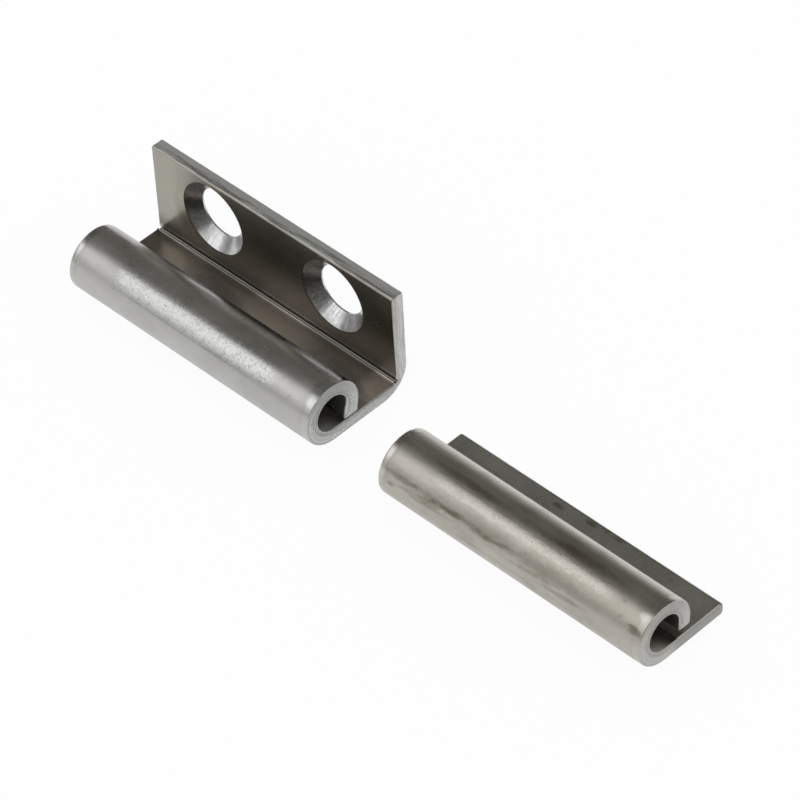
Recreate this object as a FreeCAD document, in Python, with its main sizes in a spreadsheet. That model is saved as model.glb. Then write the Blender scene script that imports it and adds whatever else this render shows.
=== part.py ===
"""Lift off hinge: a screw-on leaf, a weld-on leaf and the pin that their knuckles turn on.

The two leaves lie in line on a flat surface, lifted off each other. X runs along the knuckles from the
screw-on leaf to the weld-on leaf, Y from the knuckles towards the upright flange, and Z is up. The origin is
at the middle of the hinge's bounding box, on the surface that it lies on. Lengths are in millimetres.
"""
import FreeCAD, Part
import math
import os

import Sketcher

# Driving dimensions: name, value, what it measures
DRIVING = [
    ("leaf_length", 50.0, "length of each leaf along its knuckle"),
    ("sheet_thickness", 2.3, "thickness of the steel strip"),
    ("bore_diameter", 6.0, "inside of the rolled knuckles"),
    ("plate_reach", 15.2, "knuckle axis to the outer face of the flange"),
    ("flange_height", 18.6, "underside of the plate to the top of the flange"),
    ("bend_radius", 5.0, "outside of the bend between plate and flange"),
    ("crease_radius", 0.45, "groove pressed into the inner corner of the bend"),
    ("crease_offset", 0.12, "groove's centre inside the corner, from plate and from flange"),
    ("hole_spacing", 25.0, "between the two screw holes"),
    ("hole_drop", 7.1, "top of the flange down to the screw holes' centres"),
    ("hole_diameter", 8.4, "screw holes at the back of the flange"),
    ("countersink_diameter", 12.3, "screw holes at the front of the flange"),
    ("countersink_angle", 90.0, "full angle of the countersinks, in degrees"),
    ("pinch_angle", 11.0, "lean of the screw-on leaf's curl where it meets the plate, in degrees"),
    ("seam_gap", 0.1, "screw-on leaf's curl to its plate"),
    ("tab_reach", 12.0, "knuckle axis to the outer edge of the weld-on leaf"),
    ("tab_top_round", 0.9, "upper corner of the weld-on leaf's outer edge"),
    ("tab_bottom_round", 0.6, "lower corner of the weld-on leaf's outer edge"),
    ("open_angle", 6.0, "lean of the weld-on leaf's curl at its end, in degrees"),
    ("curl_gap", 1.1, "weld-on leaf's curl to its plate"),
    ("lip_round", 0.35, "rounding of the strip's long cut edges"),
    ("end_break", 0.3, "chamfer on the strip's cut ends"),
    ("leaves_apart", 14.3, "gap between the two knuckles as they lie"),
    ("pin_clearance", 0.05, "gap between pin and bore, all round"),
    ("pin_near_recess", 6.0, "pin's end inside the mouth that faces the weld-on leaf"),
    ("pin_far_recess", 1.0, "pin's end inside the other mouth"),
    ("pin_chamfer", 0.5, "chamfer on the pin's ends"),
]

# Sizes that follow from the driving ones: name, formula on the sheet, what it measures
DERIVED = [
    ("bore_radius", "=bore_diameter / 2", "inside radius of the knuckles"),
    ("knuckle_radius", "=bore_radius + sheet_thickness", "outside radius of the knuckles"),
    ("overall_length", "=2 * leaf_length + leaves_apart", "both leaves as they lie"),
    ("axis_y", "=(knuckle_radius - plate_reach) / 2", "knuckle axis from the middle of the hinge"),
    ("flange_top", "=flange_height - knuckle_radius", "top of the flange above the knuckle axis"),
    ("pin_radius", "=bore_radius - pin_clearance", "radius of the pin"),
    ("pin_length", "=leaf_length - pin_near_recess - pin_far_recess", "length of the pin"),
]

# Where a point of a sketch element lies, in the sketcher's own numbering
START = 1
END = 2
CENTRE = 3

# How far off a measured corner or plane may be and still be the one meant
NEAR = 0.01


def make_sheet(doc):
    """Write the sizes to a spreadsheet, one alias for each."""
    sheet = doc.addObject("Spreadsheet::Sheet", "sizes")
    for row, (name, value, meaning) in enumerate(DRIVING + DERIVED, start=1):
        sheet.set(f"A{row}", name)
        sheet.set(f"B{row}", str(value))
        sheet.set(f"C{row}", meaning)
        sheet.setAlias(f"B{row}", name)
    doc.recompute()
    return sheet


def origin_plane(body, role):
    """Return one of a body's own origin planes."""
    return next(plane for plane in body.Origin.OriginFeatures if plane.Role == role)


def new_body(doc, name, x_formula):
    """Add a body whose frame has its X axis on the knuckle axis, starting at x_formula."""
    body = doc.addObject("PartDesign::Body", name)
    body.Label = name
    body.setExpression("Placement.Base.x", x_formula)
    body.setExpression("Placement.Base.y", "sizes.axis_y")
    body.setExpression("Placement.Base.z", "sizes.knuckle_radius")
    return body


class Outline:
    """A sketch on one of a body's planes, laid out near its place and then held by constraints."""

    def __init__(self, body, name, role):
        self.sketch = body.newObject("Sketcher::SketchObject", name)
        self.sketch.AttachmentSupport = (origin_plane(body, role), [""])
        self.sketch.MapMode = "FlatFace"

    def line(self, start, end):
        """Add a straight line between two points."""
        segment = Part.LineSegment(FreeCAD.Vector(*start), FreeCAD.Vector(*end))
        return self.sketch.addGeometry(segment, False)

    def circle(self, centre, radius):
        """Add a full circle."""
        circle = Part.Circle(FreeCAD.Vector(*centre), FreeCAD.Vector(0, 0, 1), radius)
        return self.sketch.addGeometry(circle, False)

    def arc(self, centre, radius, start_angle, end_angle):
        """Add an arc that runs counterclockwise between two angles in degrees."""
        circle = Part.Circle(FreeCAD.Vector(*centre), FreeCAD.Vector(0, 0, 1), radius)
        piece = Part.ArcOfCircle(circle, math.radians(start_angle), math.radians(end_angle))
        return self.sketch.addGeometry(piece, False)

    def hold(self, kind, *where):
        """Add a constraint that needs no size."""
        self.sketch.addConstraint(Sketcher.Constraint(kind, *where))

    def size(self, name, formula, kind, *where):
        """Add a named constraint whose size comes from the sheet."""
        index = self.sketch.addConstraint(Sketcher.Constraint(kind, *where))
        self.sketch.renameConstraint(index, name)
        self.sketch.setExpression(f"Constraints.{name}", formula)


def polar(radius, angle):
    """Return the point of a circle about the knuckle axis at an angle in degrees."""
    return radius * math.cos(math.radians(angle)), radius * math.sin(math.radians(angle))


def roll_knuckle(outline, sheet, lean, lip_height, lean_formula, lip_formula):
    """Draw the rolled knuckle: two arcs about the axis, two straight walls and the strip's cut edge.

    The strip leaves the plate under the axis, goes round over the top and ends in a straight stretch that
    leans in by `lean` degrees and stops `lip_height` above the axis. Returns the inner and the outer arc.
    """
    inner_radius = float(sheet.bore_radius)
    outer_radius = float(sheet.knuckle_radius)
    slope = math.tan(math.radians(lean))
    inner_foot = polar(inner_radius, -lean)
    outer_foot = polar(outer_radius, -lean)
    inner_lip = (inner_foot[0] - slope * (inner_foot[1] - lip_height), lip_height)
    outer_lip = (outer_foot[0] - slope * (outer_foot[1] - lip_height), lip_height)
    inner = outline.arc((0, 0), inner_radius, -lean, 270)
    inner_wall = outline.line(inner_foot, inner_lip)
    lip = outline.line(inner_lip, outer_lip)
    outer_wall = outline.line(outer_lip, outer_foot)
    outer = outline.arc((0, 0), outer_radius, -lean, 270)
    outline.hold("Coincident", inner, CENTRE, -1, START)
    outline.hold("Coincident", outer, CENTRE, -1, START)
    outline.size("inner_radius", "sizes.bore_radius", "Radius", inner, inner_radius)
    outline.size("outer_radius", "sizes.knuckle_radius", "Radius", outer, outer_radius)
    outline.hold("Tangent", inner, START, inner_wall, START)
    outline.hold("Coincident", inner_wall, END, lip, START)
    outline.hold("Coincident", lip, END, outer_wall, START)
    outline.hold("Tangent", outer_wall, END, outer, START)
    outline.hold("Horizontal", lip)
    outline.hold("Parallel", inner_wall, outer_wall)
    # The axis is the sketch's own vertical, counted as element -2
    outline.size("lean", lean_formula, "Angle", outer_wall, START, -2, START, math.radians(lean))
    outline.size("lip_height", lip_formula, "DistanceY", lip, START, -1, START, -lip_height)
    return inner, outer


def pad_along_axis(body, outline, name):
    """Extrude an outline over the length of a leaf."""
    pad = body.newObject("PartDesign::Pad", name)
    pad.Profile = outline.sketch
    pad.setExpression("Length", "sizes.leaf_length")
    body.Document.recompute()
    return pad


def long_edges(feature, corners):
    """Name the straight edges along X that run through the given (Y, Z) corners."""
    names = []
    for number, edge in enumerate(feature.Shape.Edges, start=1):
        first, last = edge.Vertexes[0].Point, edge.Vertexes[-1].Point
        if math.hypot(first.y - last.y, first.z - last.z) > NEAR:
            continue
        for y, z in corners:
            if math.hypot(first.y - y, first.z - z) < NEAR:
                names.append(f"Edge{number}")
    return names


def end_edges(feature, ends):
    """Name the edges that lie in the end planes at the given X."""
    names = []
    for number, edge in enumerate(feature.Shape.Edges, start=1):
        box = edge.BoundBox
        if any(abs(box.XMin - x) < NEAR and abs(box.XMax - x) < NEAR for x in ends):
            names.append(f"Edge{number}")
    return names


def round_edges(body, base, edges, name, formula):
    """Fillet the named edges of the last feature."""
    fillet = body.newObject("PartDesign::Fillet", name)
    fillet.Base = (base, edges)
    fillet.setExpression("Radius", formula)
    body.Document.recompute()
    return fillet


def break_edges(body, base, edges, name, formula):
    """Chamfer the named edges of the last feature."""
    chamfer = body.newObject("PartDesign::Chamfer", name)
    chamfer.Base = (base, edges)
    chamfer.setExpression("Size", formula)
    body.Document.recompute()
    return chamfer


def make_screw_on_leaf(doc, sheet):
    """Rolled knuckle, flat plate and an upright flange with two countersunk holes, from one strip."""
    body = new_body(doc, "screw_on_leaf", "-sizes.overall_length / 2")
    inner_radius = float(sheet.bore_radius)
    outer_radius = float(sheet.knuckle_radius)
    reach = float(sheet.plate_reach)
    inner_face = reach - float(sheet.sheet_thickness)
    top = float(sheet.flange_top)
    bend = float(sheet.bend_radius)
    crease = float(sheet.crease_radius)
    offset = float(sheet.crease_offset)
    lip_height = -inner_radius + float(sheet.seam_gap)

    strip = Outline(body, "screw_strip", "YZ_Plane")
    inner, outer = roll_knuckle(strip, sheet, float(sheet.pinch_angle), lip_height,
                                "sizes.pinch_angle", "sizes.bore_radius - sizes.seam_gap")
    underside = strip.line((0, -outer_radius), (reach - bend, -outer_radius))
    bend_arc = strip.arc((reach - bend, bend - outer_radius), bend, -90, 0)
    back = strip.line((reach, bend - outer_radius), (reach, top))
    top_edge = strip.line((reach, top), (inner_face, top))
    # The groove dips below the plate and behind the flange, so it meets both in a shallow kink
    half_mouth = math.sqrt(crease ** 2 - offset ** 2)
    mouth_angle = math.degrees(math.atan2(half_mouth, offset))
    groove_centre = (inner_face - offset, offset - inner_radius)
    front = strip.line((inner_face, top), (inner_face, groove_centre[1] + half_mouth))
    groove = strip.arc(groove_centre, crease, 270 - mouth_angle, 360 + mouth_angle)
    floor = strip.line((groove_centre[0] - half_mouth, -inner_radius), (0, -inner_radius))

    strip.hold("Tangent", outer, END, underside, START)
    strip.hold("Tangent", underside, END, bend_arc, START)
    strip.hold("Tangent", bend_arc, END, back, START)
    strip.hold("Coincident", back, END, top_edge, START)
    strip.hold("Coincident", top_edge, END, front, START)
    strip.hold("Coincident", front, END, groove, END)
    strip.hold("Coincident", groove, START, floor, START)
    strip.hold("Tangent", floor, END, inner, END)
    strip.hold("Horizontal", underside)
    strip.hold("Horizontal", top_edge)
    strip.hold("Horizontal", floor)
    strip.hold("Vertical", back)
    strip.hold("Vertical", front)
    strip.size("bend_radius", "sizes.bend_radius", "Radius", bend_arc, bend)
    strip.size("crease_radius", "sizes.crease_radius", "Radius", groove, crease)
    strip.size("reach", "sizes.plate_reach", "DistanceX", -1, START, back, START, reach)
    strip.size("top", "sizes.flange_top", "DistanceY", -1, START, back, END, top)
    strip.size("flange_wall", "sizes.sheet_thickness",
               "DistanceX", front, START, back, END, reach - inner_face)
    strip.size("crease_in", "sizes.crease_offset", "DistanceX", groove, CENTRE, front, END, offset)
    strip.size("crease_up", "sizes.crease_offset", "DistanceY", floor, START, groove, CENTRE, offset)
    pad = pad_along_axis(body, strip, "screw_leaf_pad")

    lips = round_edges(body, pad, long_edges(pad, [(reach, top), (inner_face, top)]),
                       "flange_top_round", "sizes.lip_round")
    ends = break_edges(body, lips, end_edges(lips, [0, float(sheet.leaf_length)]),
                       "screw_leaf_end_break", "sizes.end_break")
    drill_screw_holes(body, sheet, ends)
    return body


def drill_screw_holes(body, sheet, base):
    """Countersink two holes through the flange, from its inner face."""
    middle = float(sheet.leaf_length) / 2
    half_spacing = float(sheet.hole_spacing) / 2
    height = float(sheet.flange_top) - float(sheet.hole_drop)
    radius = float(sheet.hole_diameter) / 2

    spots = Outline(body, "screw_hole_spots", "XZ_Plane")
    spots.sketch.setExpression("AttachmentOffset.Base.z", "sizes.sheet_thickness - sizes.plate_reach")
    first = spots.circle((middle - half_spacing, height), radius)
    second = spots.circle((middle + half_spacing, height), radius)
    spots.size("hole_radius", "sizes.hole_diameter / 2", "Radius", first, radius)
    spots.hold("Equal", first, second)
    spots.hold("Horizontal", first, CENTRE, second, CENTRE)
    spots.size("height", "sizes.flange_top - sizes.hole_drop", "DistanceY", -1, START, first, CENTRE, height)
    spots.size("first_hole", "(sizes.leaf_length - sizes.hole_spacing) / 2",
               "DistanceX", -1, START, first, CENTRE, middle - half_spacing)
    spots.size("spacing", "sizes.hole_spacing", "DistanceX", first, CENTRE, second, CENTRE, 2 * half_spacing)
    body.Document.recompute()

    hole = body.newObject("PartDesign::Hole", "screw_holes")
    hole.Profile = spots.sketch
    hole.ThreadType = 0
    hole.DepthType = "ThroughAll"
    hole.HoleCutType = "Countersink"
    hole.HoleCutCustomValues = True
    hole.setExpression("Diameter", "sizes.hole_diameter")
    hole.setExpression("HoleCutDiameter", "sizes.countersink_diameter")
    hole.setExpression("HoleCutCountersinkAngle", "sizes.countersink_angle")
    body.Document.recompute()
    if hole.Shape.Volume >= base.Shape.Volume:
        raise RuntimeError("the screw holes cut nothing")


def make_weld_on_leaf(doc, sheet):
    """The same knuckle with a short flat tab to weld on by."""
    body = new_body(doc, "weld_on_leaf", "sizes.overall_length / 2 - sizes.leaf_length")
    inner_radius = float(sheet.bore_radius)
    outer_radius = float(sheet.knuckle_radius)
    reach = float(sheet.tab_reach)
    lip_height = -inner_radius + float(sheet.curl_gap)

    strip = Outline(body, "weld_strip", "YZ_Plane")
    inner, outer = roll_knuckle(strip, sheet, float(sheet.open_angle), lip_height,
                                "sizes.open_angle", "sizes.bore_radius - sizes.curl_gap")
    underside = strip.line((0, -outer_radius), (reach, -outer_radius))
    edge = strip.line((reach, -outer_radius), (reach, -inner_radius))
    upper_side = strip.line((reach, -inner_radius), (0, -inner_radius))
    strip.hold("Tangent", outer, END, underside, START)
    strip.hold("Coincident", underside, END, edge, START)
    strip.hold("Coincident", edge, END, upper_side, START)
    strip.hold("Tangent", upper_side, END, inner, END)
    strip.hold("Horizontal", underside)
    strip.hold("Vertical", edge)
    strip.hold("Horizontal", upper_side)
    strip.size("reach", "sizes.tab_reach", "DistanceX", -1, START, edge, START, reach)
    pad = pad_along_axis(body, strip, "weld_leaf_pad")

    slope = math.tan(math.radians(float(sheet.open_angle)))
    lip_corners = []
    for radius in (inner_radius, outer_radius):
        foot = polar(radius, -float(sheet.open_angle))
        lip_corners.append((foot[0] - slope * (foot[1] - lip_height), lip_height))
    top = round_edges(body, pad, long_edges(pad, [(reach, -inner_radius)]),
                      "tab_top_round", "sizes.tab_top_round")
    bottom = round_edges(body, top, long_edges(top, [(reach, -outer_radius)]),
                         "tab_bottom_round", "sizes.tab_bottom_round")
    lips = round_edges(body, bottom, long_edges(bottom, lip_corners), "curl_lip_round", "sizes.lip_round")
    break_edges(body, lips, end_edges(lips, [0, float(sheet.leaf_length)]),
                "weld_leaf_end_break", "sizes.end_break")
    return body


def make_hinge_pin(doc, sheet):
    """The pin, out of sight in the screw-on leaf's knuckle."""
    body = new_body(doc, "hinge_pin", "sizes.pin_far_recess - sizes.overall_length / 2")
    radius = float(sheet.pin_radius)
    section = Outline(body, "pin_section", "YZ_Plane")
    circle = section.circle((0, 0), radius)
    section.hold("Coincident", circle, CENTRE, -1, START)
    section.size("pin_radius", "sizes.pin_radius", "Radius", circle, radius)
    rod = body.newObject("PartDesign::Pad", "pin_rod")
    rod.Profile = section.sketch
    rod.setExpression("Length", "sizes.pin_length")
    doc.recompute()
    break_edges(body, rod, end_edges(rod, [0, float(sheet.pin_length)]),
                "pin_end_break", "sizes.pin_chamfer")
    return body


def check(doc, bodies):
    """Stop if a feature failed or a piece isn't one valid solid."""
    for item in doc.Objects:
        if "Invalid" in item.State or "Error" in item.State:
            raise RuntimeError(f"{item.Name} failed: {item.State}")
    for body in bodies:
        shape = body.Shape
        if shape.isNull() or not shape.isValid() or len(shape.Solids) != 1:
            raise RuntimeError(f"{body.Label} isn't one valid solid")


def main():
    """Build the three pieces and write one STEP file for each."""
    doc = FreeCAD.newDocument("lift_off_hinge")
    sheet = make_sheet(doc)
    bodies = [make_screw_on_leaf(doc, sheet), make_weld_on_leaf(doc, sheet), make_hinge_pin(doc, sheet)]
    doc.recompute()
    check(doc, bodies)
    os.makedirs("parts", exist_ok=True)
    for body in bodies:
        body.Shape.exportStep(f"parts/{body.Label}.step")
        print(f"{body.Label}: {body.Shape.Volume:.1f} mm3, {body.Shape.BoundBox}")


main()
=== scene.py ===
"""Looks of the lift off hinge: two rolled steel leaves, the pin inside one of them, and a white studio.

Lengths are in millimetres while a piece is being shaped, measured along X from the piece's own end at low X
and across X from the knuckle axis. A finished piece is brought to metres and to its place at the end.
"""

import logging
import math
from dataclasses import dataclass
from enum import Enum

import bmesh
import bpy
from mathutils import Matrix, Quaternion, Vector

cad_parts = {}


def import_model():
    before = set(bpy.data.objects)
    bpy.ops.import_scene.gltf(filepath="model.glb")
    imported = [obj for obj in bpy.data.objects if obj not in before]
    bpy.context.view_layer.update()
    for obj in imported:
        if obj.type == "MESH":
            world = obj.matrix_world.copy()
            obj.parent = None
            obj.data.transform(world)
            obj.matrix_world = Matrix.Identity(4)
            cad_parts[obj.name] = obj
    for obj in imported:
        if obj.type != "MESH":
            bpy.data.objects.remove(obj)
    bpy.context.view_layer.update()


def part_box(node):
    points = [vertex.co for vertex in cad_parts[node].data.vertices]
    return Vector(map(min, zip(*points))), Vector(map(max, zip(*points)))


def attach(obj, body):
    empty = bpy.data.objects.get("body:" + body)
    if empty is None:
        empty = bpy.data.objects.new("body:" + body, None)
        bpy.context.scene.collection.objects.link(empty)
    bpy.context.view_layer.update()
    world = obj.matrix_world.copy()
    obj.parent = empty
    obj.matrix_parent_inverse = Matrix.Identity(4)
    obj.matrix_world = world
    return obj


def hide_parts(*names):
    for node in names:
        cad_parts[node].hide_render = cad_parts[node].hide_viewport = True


LOG = logging.getLogger("hinge")
MM = 0.001
BORE = 3.0
WALL = 2.3
KNUCKLE = BORE + WALL
SHARP = math.radians(32.0)
END_ON = 0.8
ALONG = (1.0, 0.0, 0.0)
CENTRE = (0.0, 0.0, 0.0)
WHITE = (1.0, 1.0, 1.0)
Colour = tuple[float, float, float]
Point = tuple[float, float, float]
SectionPoint = tuple[float, float]
Mesh = bmesh.types.BMesh
Socket = bpy.types.NodeSocket


class Slot(Enum):
    """Material slots of the record."""

    SCREW_LEAF = "screw_leaf_steel"
    WELD_LEAF = "weld_leaf_steel"
    PIN = "pin_steel"


class Finish(Enum):
    """Finishes of a leaf, in the order of its material slots."""

    ROLLED = 0
    SHEARED = 1
    BORE = 2
    CHANNEL = 3
    COUNTERSINK = 4


# Shader maths


class Reading:
    """A number that a node gives. Python's arithmetic on it adds Math nodes."""

    def __init__(self, graph: "Graph", socket: Socket) -> None:
        """Wrap an output socket of a graph."""
        self.graph = graph
        self.socket = socket

    def apply(self, operation: str, *values: "Reading | float") -> "Reading":
        """Put the reading and other values, in this order, through a Math node."""
        inputs = dict(enumerate((self, *values)))
        return self.graph.read(self.graph.node("ShaderNodeMath", inputs, operation=operation))

    def __add__(self, other: "Reading | float") -> "Reading":
        """Add."""
        return self.apply("ADD", other)

    __radd__ = __add__

    def __mul__(self, other: "Reading | float") -> "Reading":
        """Multiply."""
        return self.apply("MULTIPLY", other)

    __rmul__ = __mul__

    def __sub__(self, other: "Reading | float") -> "Reading":
        """Subtract a value from the reading."""
        return self.apply("SUBTRACT", other)

    def __rsub__(self, other: float) -> "Reading":
        """Subtract the reading from a number."""
        return self * -1.0 + other

    def __truediv__(self, other: "Reading | float") -> "Reading":
        """Divide."""
        return self.apply("DIVIDE", other)

    def __neg__(self) -> "Reading":
        """Change the sign."""
        return self * -1.0

    def ramp(self, low: float, high: float) -> "Reading":
        """Rise smoothly from 0 at low to 1 at high, or fall where low is above high."""
        inputs = {"Value": self, "From Min": low, "From Max": high}
        return self.graph.read(self.graph.node("ShaderNodeMapRange", inputs, interpolation_type="SMOOTHSTEP"))

    def window(self, low: float, high: float, edge: float) -> "Reading":
        """Be 1 between two values and 0 outside them, with edges that are soft by edge to both sides."""
        return self.ramp(low - edge, low + edge) * self.ramp(high + edge, high - edge)


Input = Reading | Socket | float | tuple


class Graph:
    """A node tree, with one way to add any node to it."""

    def __init__(self, tree: bpy.types.NodeTree) -> None:
        """Start from an empty tree."""
        tree.nodes.clear()
        self.tree = tree

    def node(self, kind: str, inputs: dict | None = None, **settings: object) -> bpy.types.Node:
        """Add a node.

        Args:
            kind: the node's type name.
            inputs: values or links by socket name or number.
            settings: its properties, which are set first.

        Returns:
            The new node.
        """
        made = self.tree.nodes.new(kind)
        for name, value in settings.items():
            setattr(made, name, value)
        for name, value in (inputs or {}).items():
            self._plug(made.inputs[name], value)
        return made

    def _plug(self, socket: Socket, value: Input) -> None:
        """Link an output to a socket, or set the socket's own value."""
        if isinstance(value, Reading):
            value = value.socket
        if isinstance(value, Socket):
            self.tree.links.new(value, socket)
        elif isinstance(value, tuple) and socket.type == "RGBA":
            socket.default_value = (*value, 1.0)
        else:
            socket.default_value = value

    def read(self, node: bpy.types.Node, output: str | int = 0) -> Reading:
        """Read one of a node's outputs as a number."""
        return Reading(self, node.outputs[output])

    def join(self, x: Input, y: Input, z: Input) -> Socket:
        """Put three numbers together into a vector."""
        return self.node("ShaderNodeCombineXYZ", {0: x, 1: y, 2: z}).outputs[0]

    def coats(self, base: Input, *coats: tuple[Reading | float, Input]) -> Input:
        """Lay colours over one another.

        Args:
            base: the lowest colour, or a link to one.
            coats: how much of each further colour there is, and that colour, from below upwards.

        Returns:
            The mixed colour.
        """
        for share, colour in coats:
            inputs = {0: share, 6: base, 7: colour}
            base = self.node("ShaderNodeMix", inputs, data_type="RGBA", clamp_factor=True).outputs[2]
        return base


def darker(colour: Colour) -> Colour:
    """Give a darker tone of a colour."""
    return tuple(0.6 * value for value in colour)


def new_material(name: str, item: bpy.types.Object) -> bpy.types.NodeTree:
    """Give an object one more material.

    Args:
        name: the material's name.
        item: the object.

    Returns:
        The material's node tree.
    """
    material = bpy.data.materials.new(name)
    material.use_nodes = True
    item.data.materials.append(material)
    return material.node_tree


# Finishes


@dataclass(frozen=True)
class Mark:
    """A soft oval mark, in millimetres along a leaf and in degrees or millimetres across it."""

    along: float
    across: float
    length: float
    width: float
    strength: float
    slant: float = 0.0


Marks = tuple[Mark, ...]


@dataclass(frozen=True)
class Press:
    """The grainy band that the curling die left along a knuckle."""

    first: float
    last: float
    low: float
    high: float


class Skin(Graph):
    """The graph of a steel surface, with its coordinates in millimetres from the piece's origin."""

    def __init__(self, tree: bpy.types.NodeTree, origin: Point) -> None:
        """Start from a tree and from the coordinates' origin, in metres."""
        super().__init__(tree)
        coordinates = self.node("ShaderNodeTexCoord").outputs["Object"]
        shift = tuple(-value / MM for value in origin)
        inputs = {"Vector": coordinates, "Location": shift, "Scale": (1 / MM,) * 3}
        self.place = self.node("ShaderNodeMapping", inputs).outputs[0]
        split = self.node("ShaderNodeSeparateXYZ", {0: self.place})
        self.axes = tuple(self.read(split, number) for number in range(3))

    def around(self) -> Reading:
        """Give the angle about the knuckle axis, in degrees from +Y over the top to 270 underneath."""
        return (-self.axes[1]).apply("ARCTAN2", self.axes[2]) * math.degrees(1.0) + 90.0

    def noise(self, size: float, detail: float, rough: float, swirl: float = 0.0,
              stretch: Point | None = None, at: Socket | None = None) -> Reading:
        """Read a smooth noise.

        Args:
            size: the width of its largest spots, in millimetres.
            detail: how many finer layers it has.
            rough: how strong the finer layers are.
            swirl: how far its spots are bent.
            stretch: a factor for each axis, below 1 where the spots are long.
            at: where it is read, if not at the surface's own coordinates.

        Returns:
            A number around 0.5.
        """
        place = at or self.place
        if stretch:
            scaled = self.node("ShaderNodeVectorMath", {0: place, 1: stretch}, operation="MULTIPLY")
            place = scaled.outputs[0]
        inputs = {"Vector": place, "Scale": 1 / size, "Detail": detail, "Roughness": rough}
        return self.read(self.node("ShaderNodeTexNoise", {**inputs, "Distortion": swirl}))

    def cover(self, marks: Marks, across: Reading, ragged: float = 3.2,
              size: float = 1.7) -> Reading | float:
        """Say how strongly a set of marks covers each place.

        Args:
            marks: the marks.
            across: the coordinate across the leaf, in the marks' own unit.
            ragged: how uneven their edges are.
            size: how large the unevenness is, in millimetres.

        Returns:
            From 0, bare, to 1 or a little more, fully covered.
        """
        along = self.axes[0]
        waver = (self.noise(size, 5.0, 0.75, 0.6, stretch=(0.5, 1.0, 1.0)) - 0.5) * ragged
        covered = 0.0
        for mark in marks:
            lengthwise = (along - mark.along) / mark.length
            crosswise = (across - along * mark.slant - (mark.across - mark.slant * mark.along)) / mark.width
            reach = lengthwise * lengthwise + crosswise * crosswise + waver
            covered = covered + reach.ramp(1.3, -0.2) * mark.strength
        return covered

    def metal(self, colour: Input, roughness: Reading, height: Reading, depth: float) -> None:
        """End the graph in a bare metal surface.

        Args:
            colour: its base colour.
            roughness: its roughness.
            height: its relief, from 0 to 1.
            depth: how deep the relief is, in millimetres.
        """
        relief = self.node("ShaderNodeBump", {"Strength": 1.0, "Distance": depth * MM, "Height": height})
        inputs = {"Base Color": colour, "Roughness": roughness, "Metallic": 1.0, "Normal": relief.outputs[0]}
        surface = self.node("ShaderNodeBsdfPrincipled", inputs)
        self.node("ShaderNodeOutputMaterial", {"Surface": surface.outputs[0]})


@dataclass(frozen=True)
class Steel:
    """What every finish has. Each kind of steel paints itself."""

    name: str
    origin: Point

    def lay_on(self, piece: bpy.types.Object) -> None:
        """Give the piece this finish as its next material."""
        self.paint(Skin(new_material(self.name, piece), self.origin))


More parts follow.
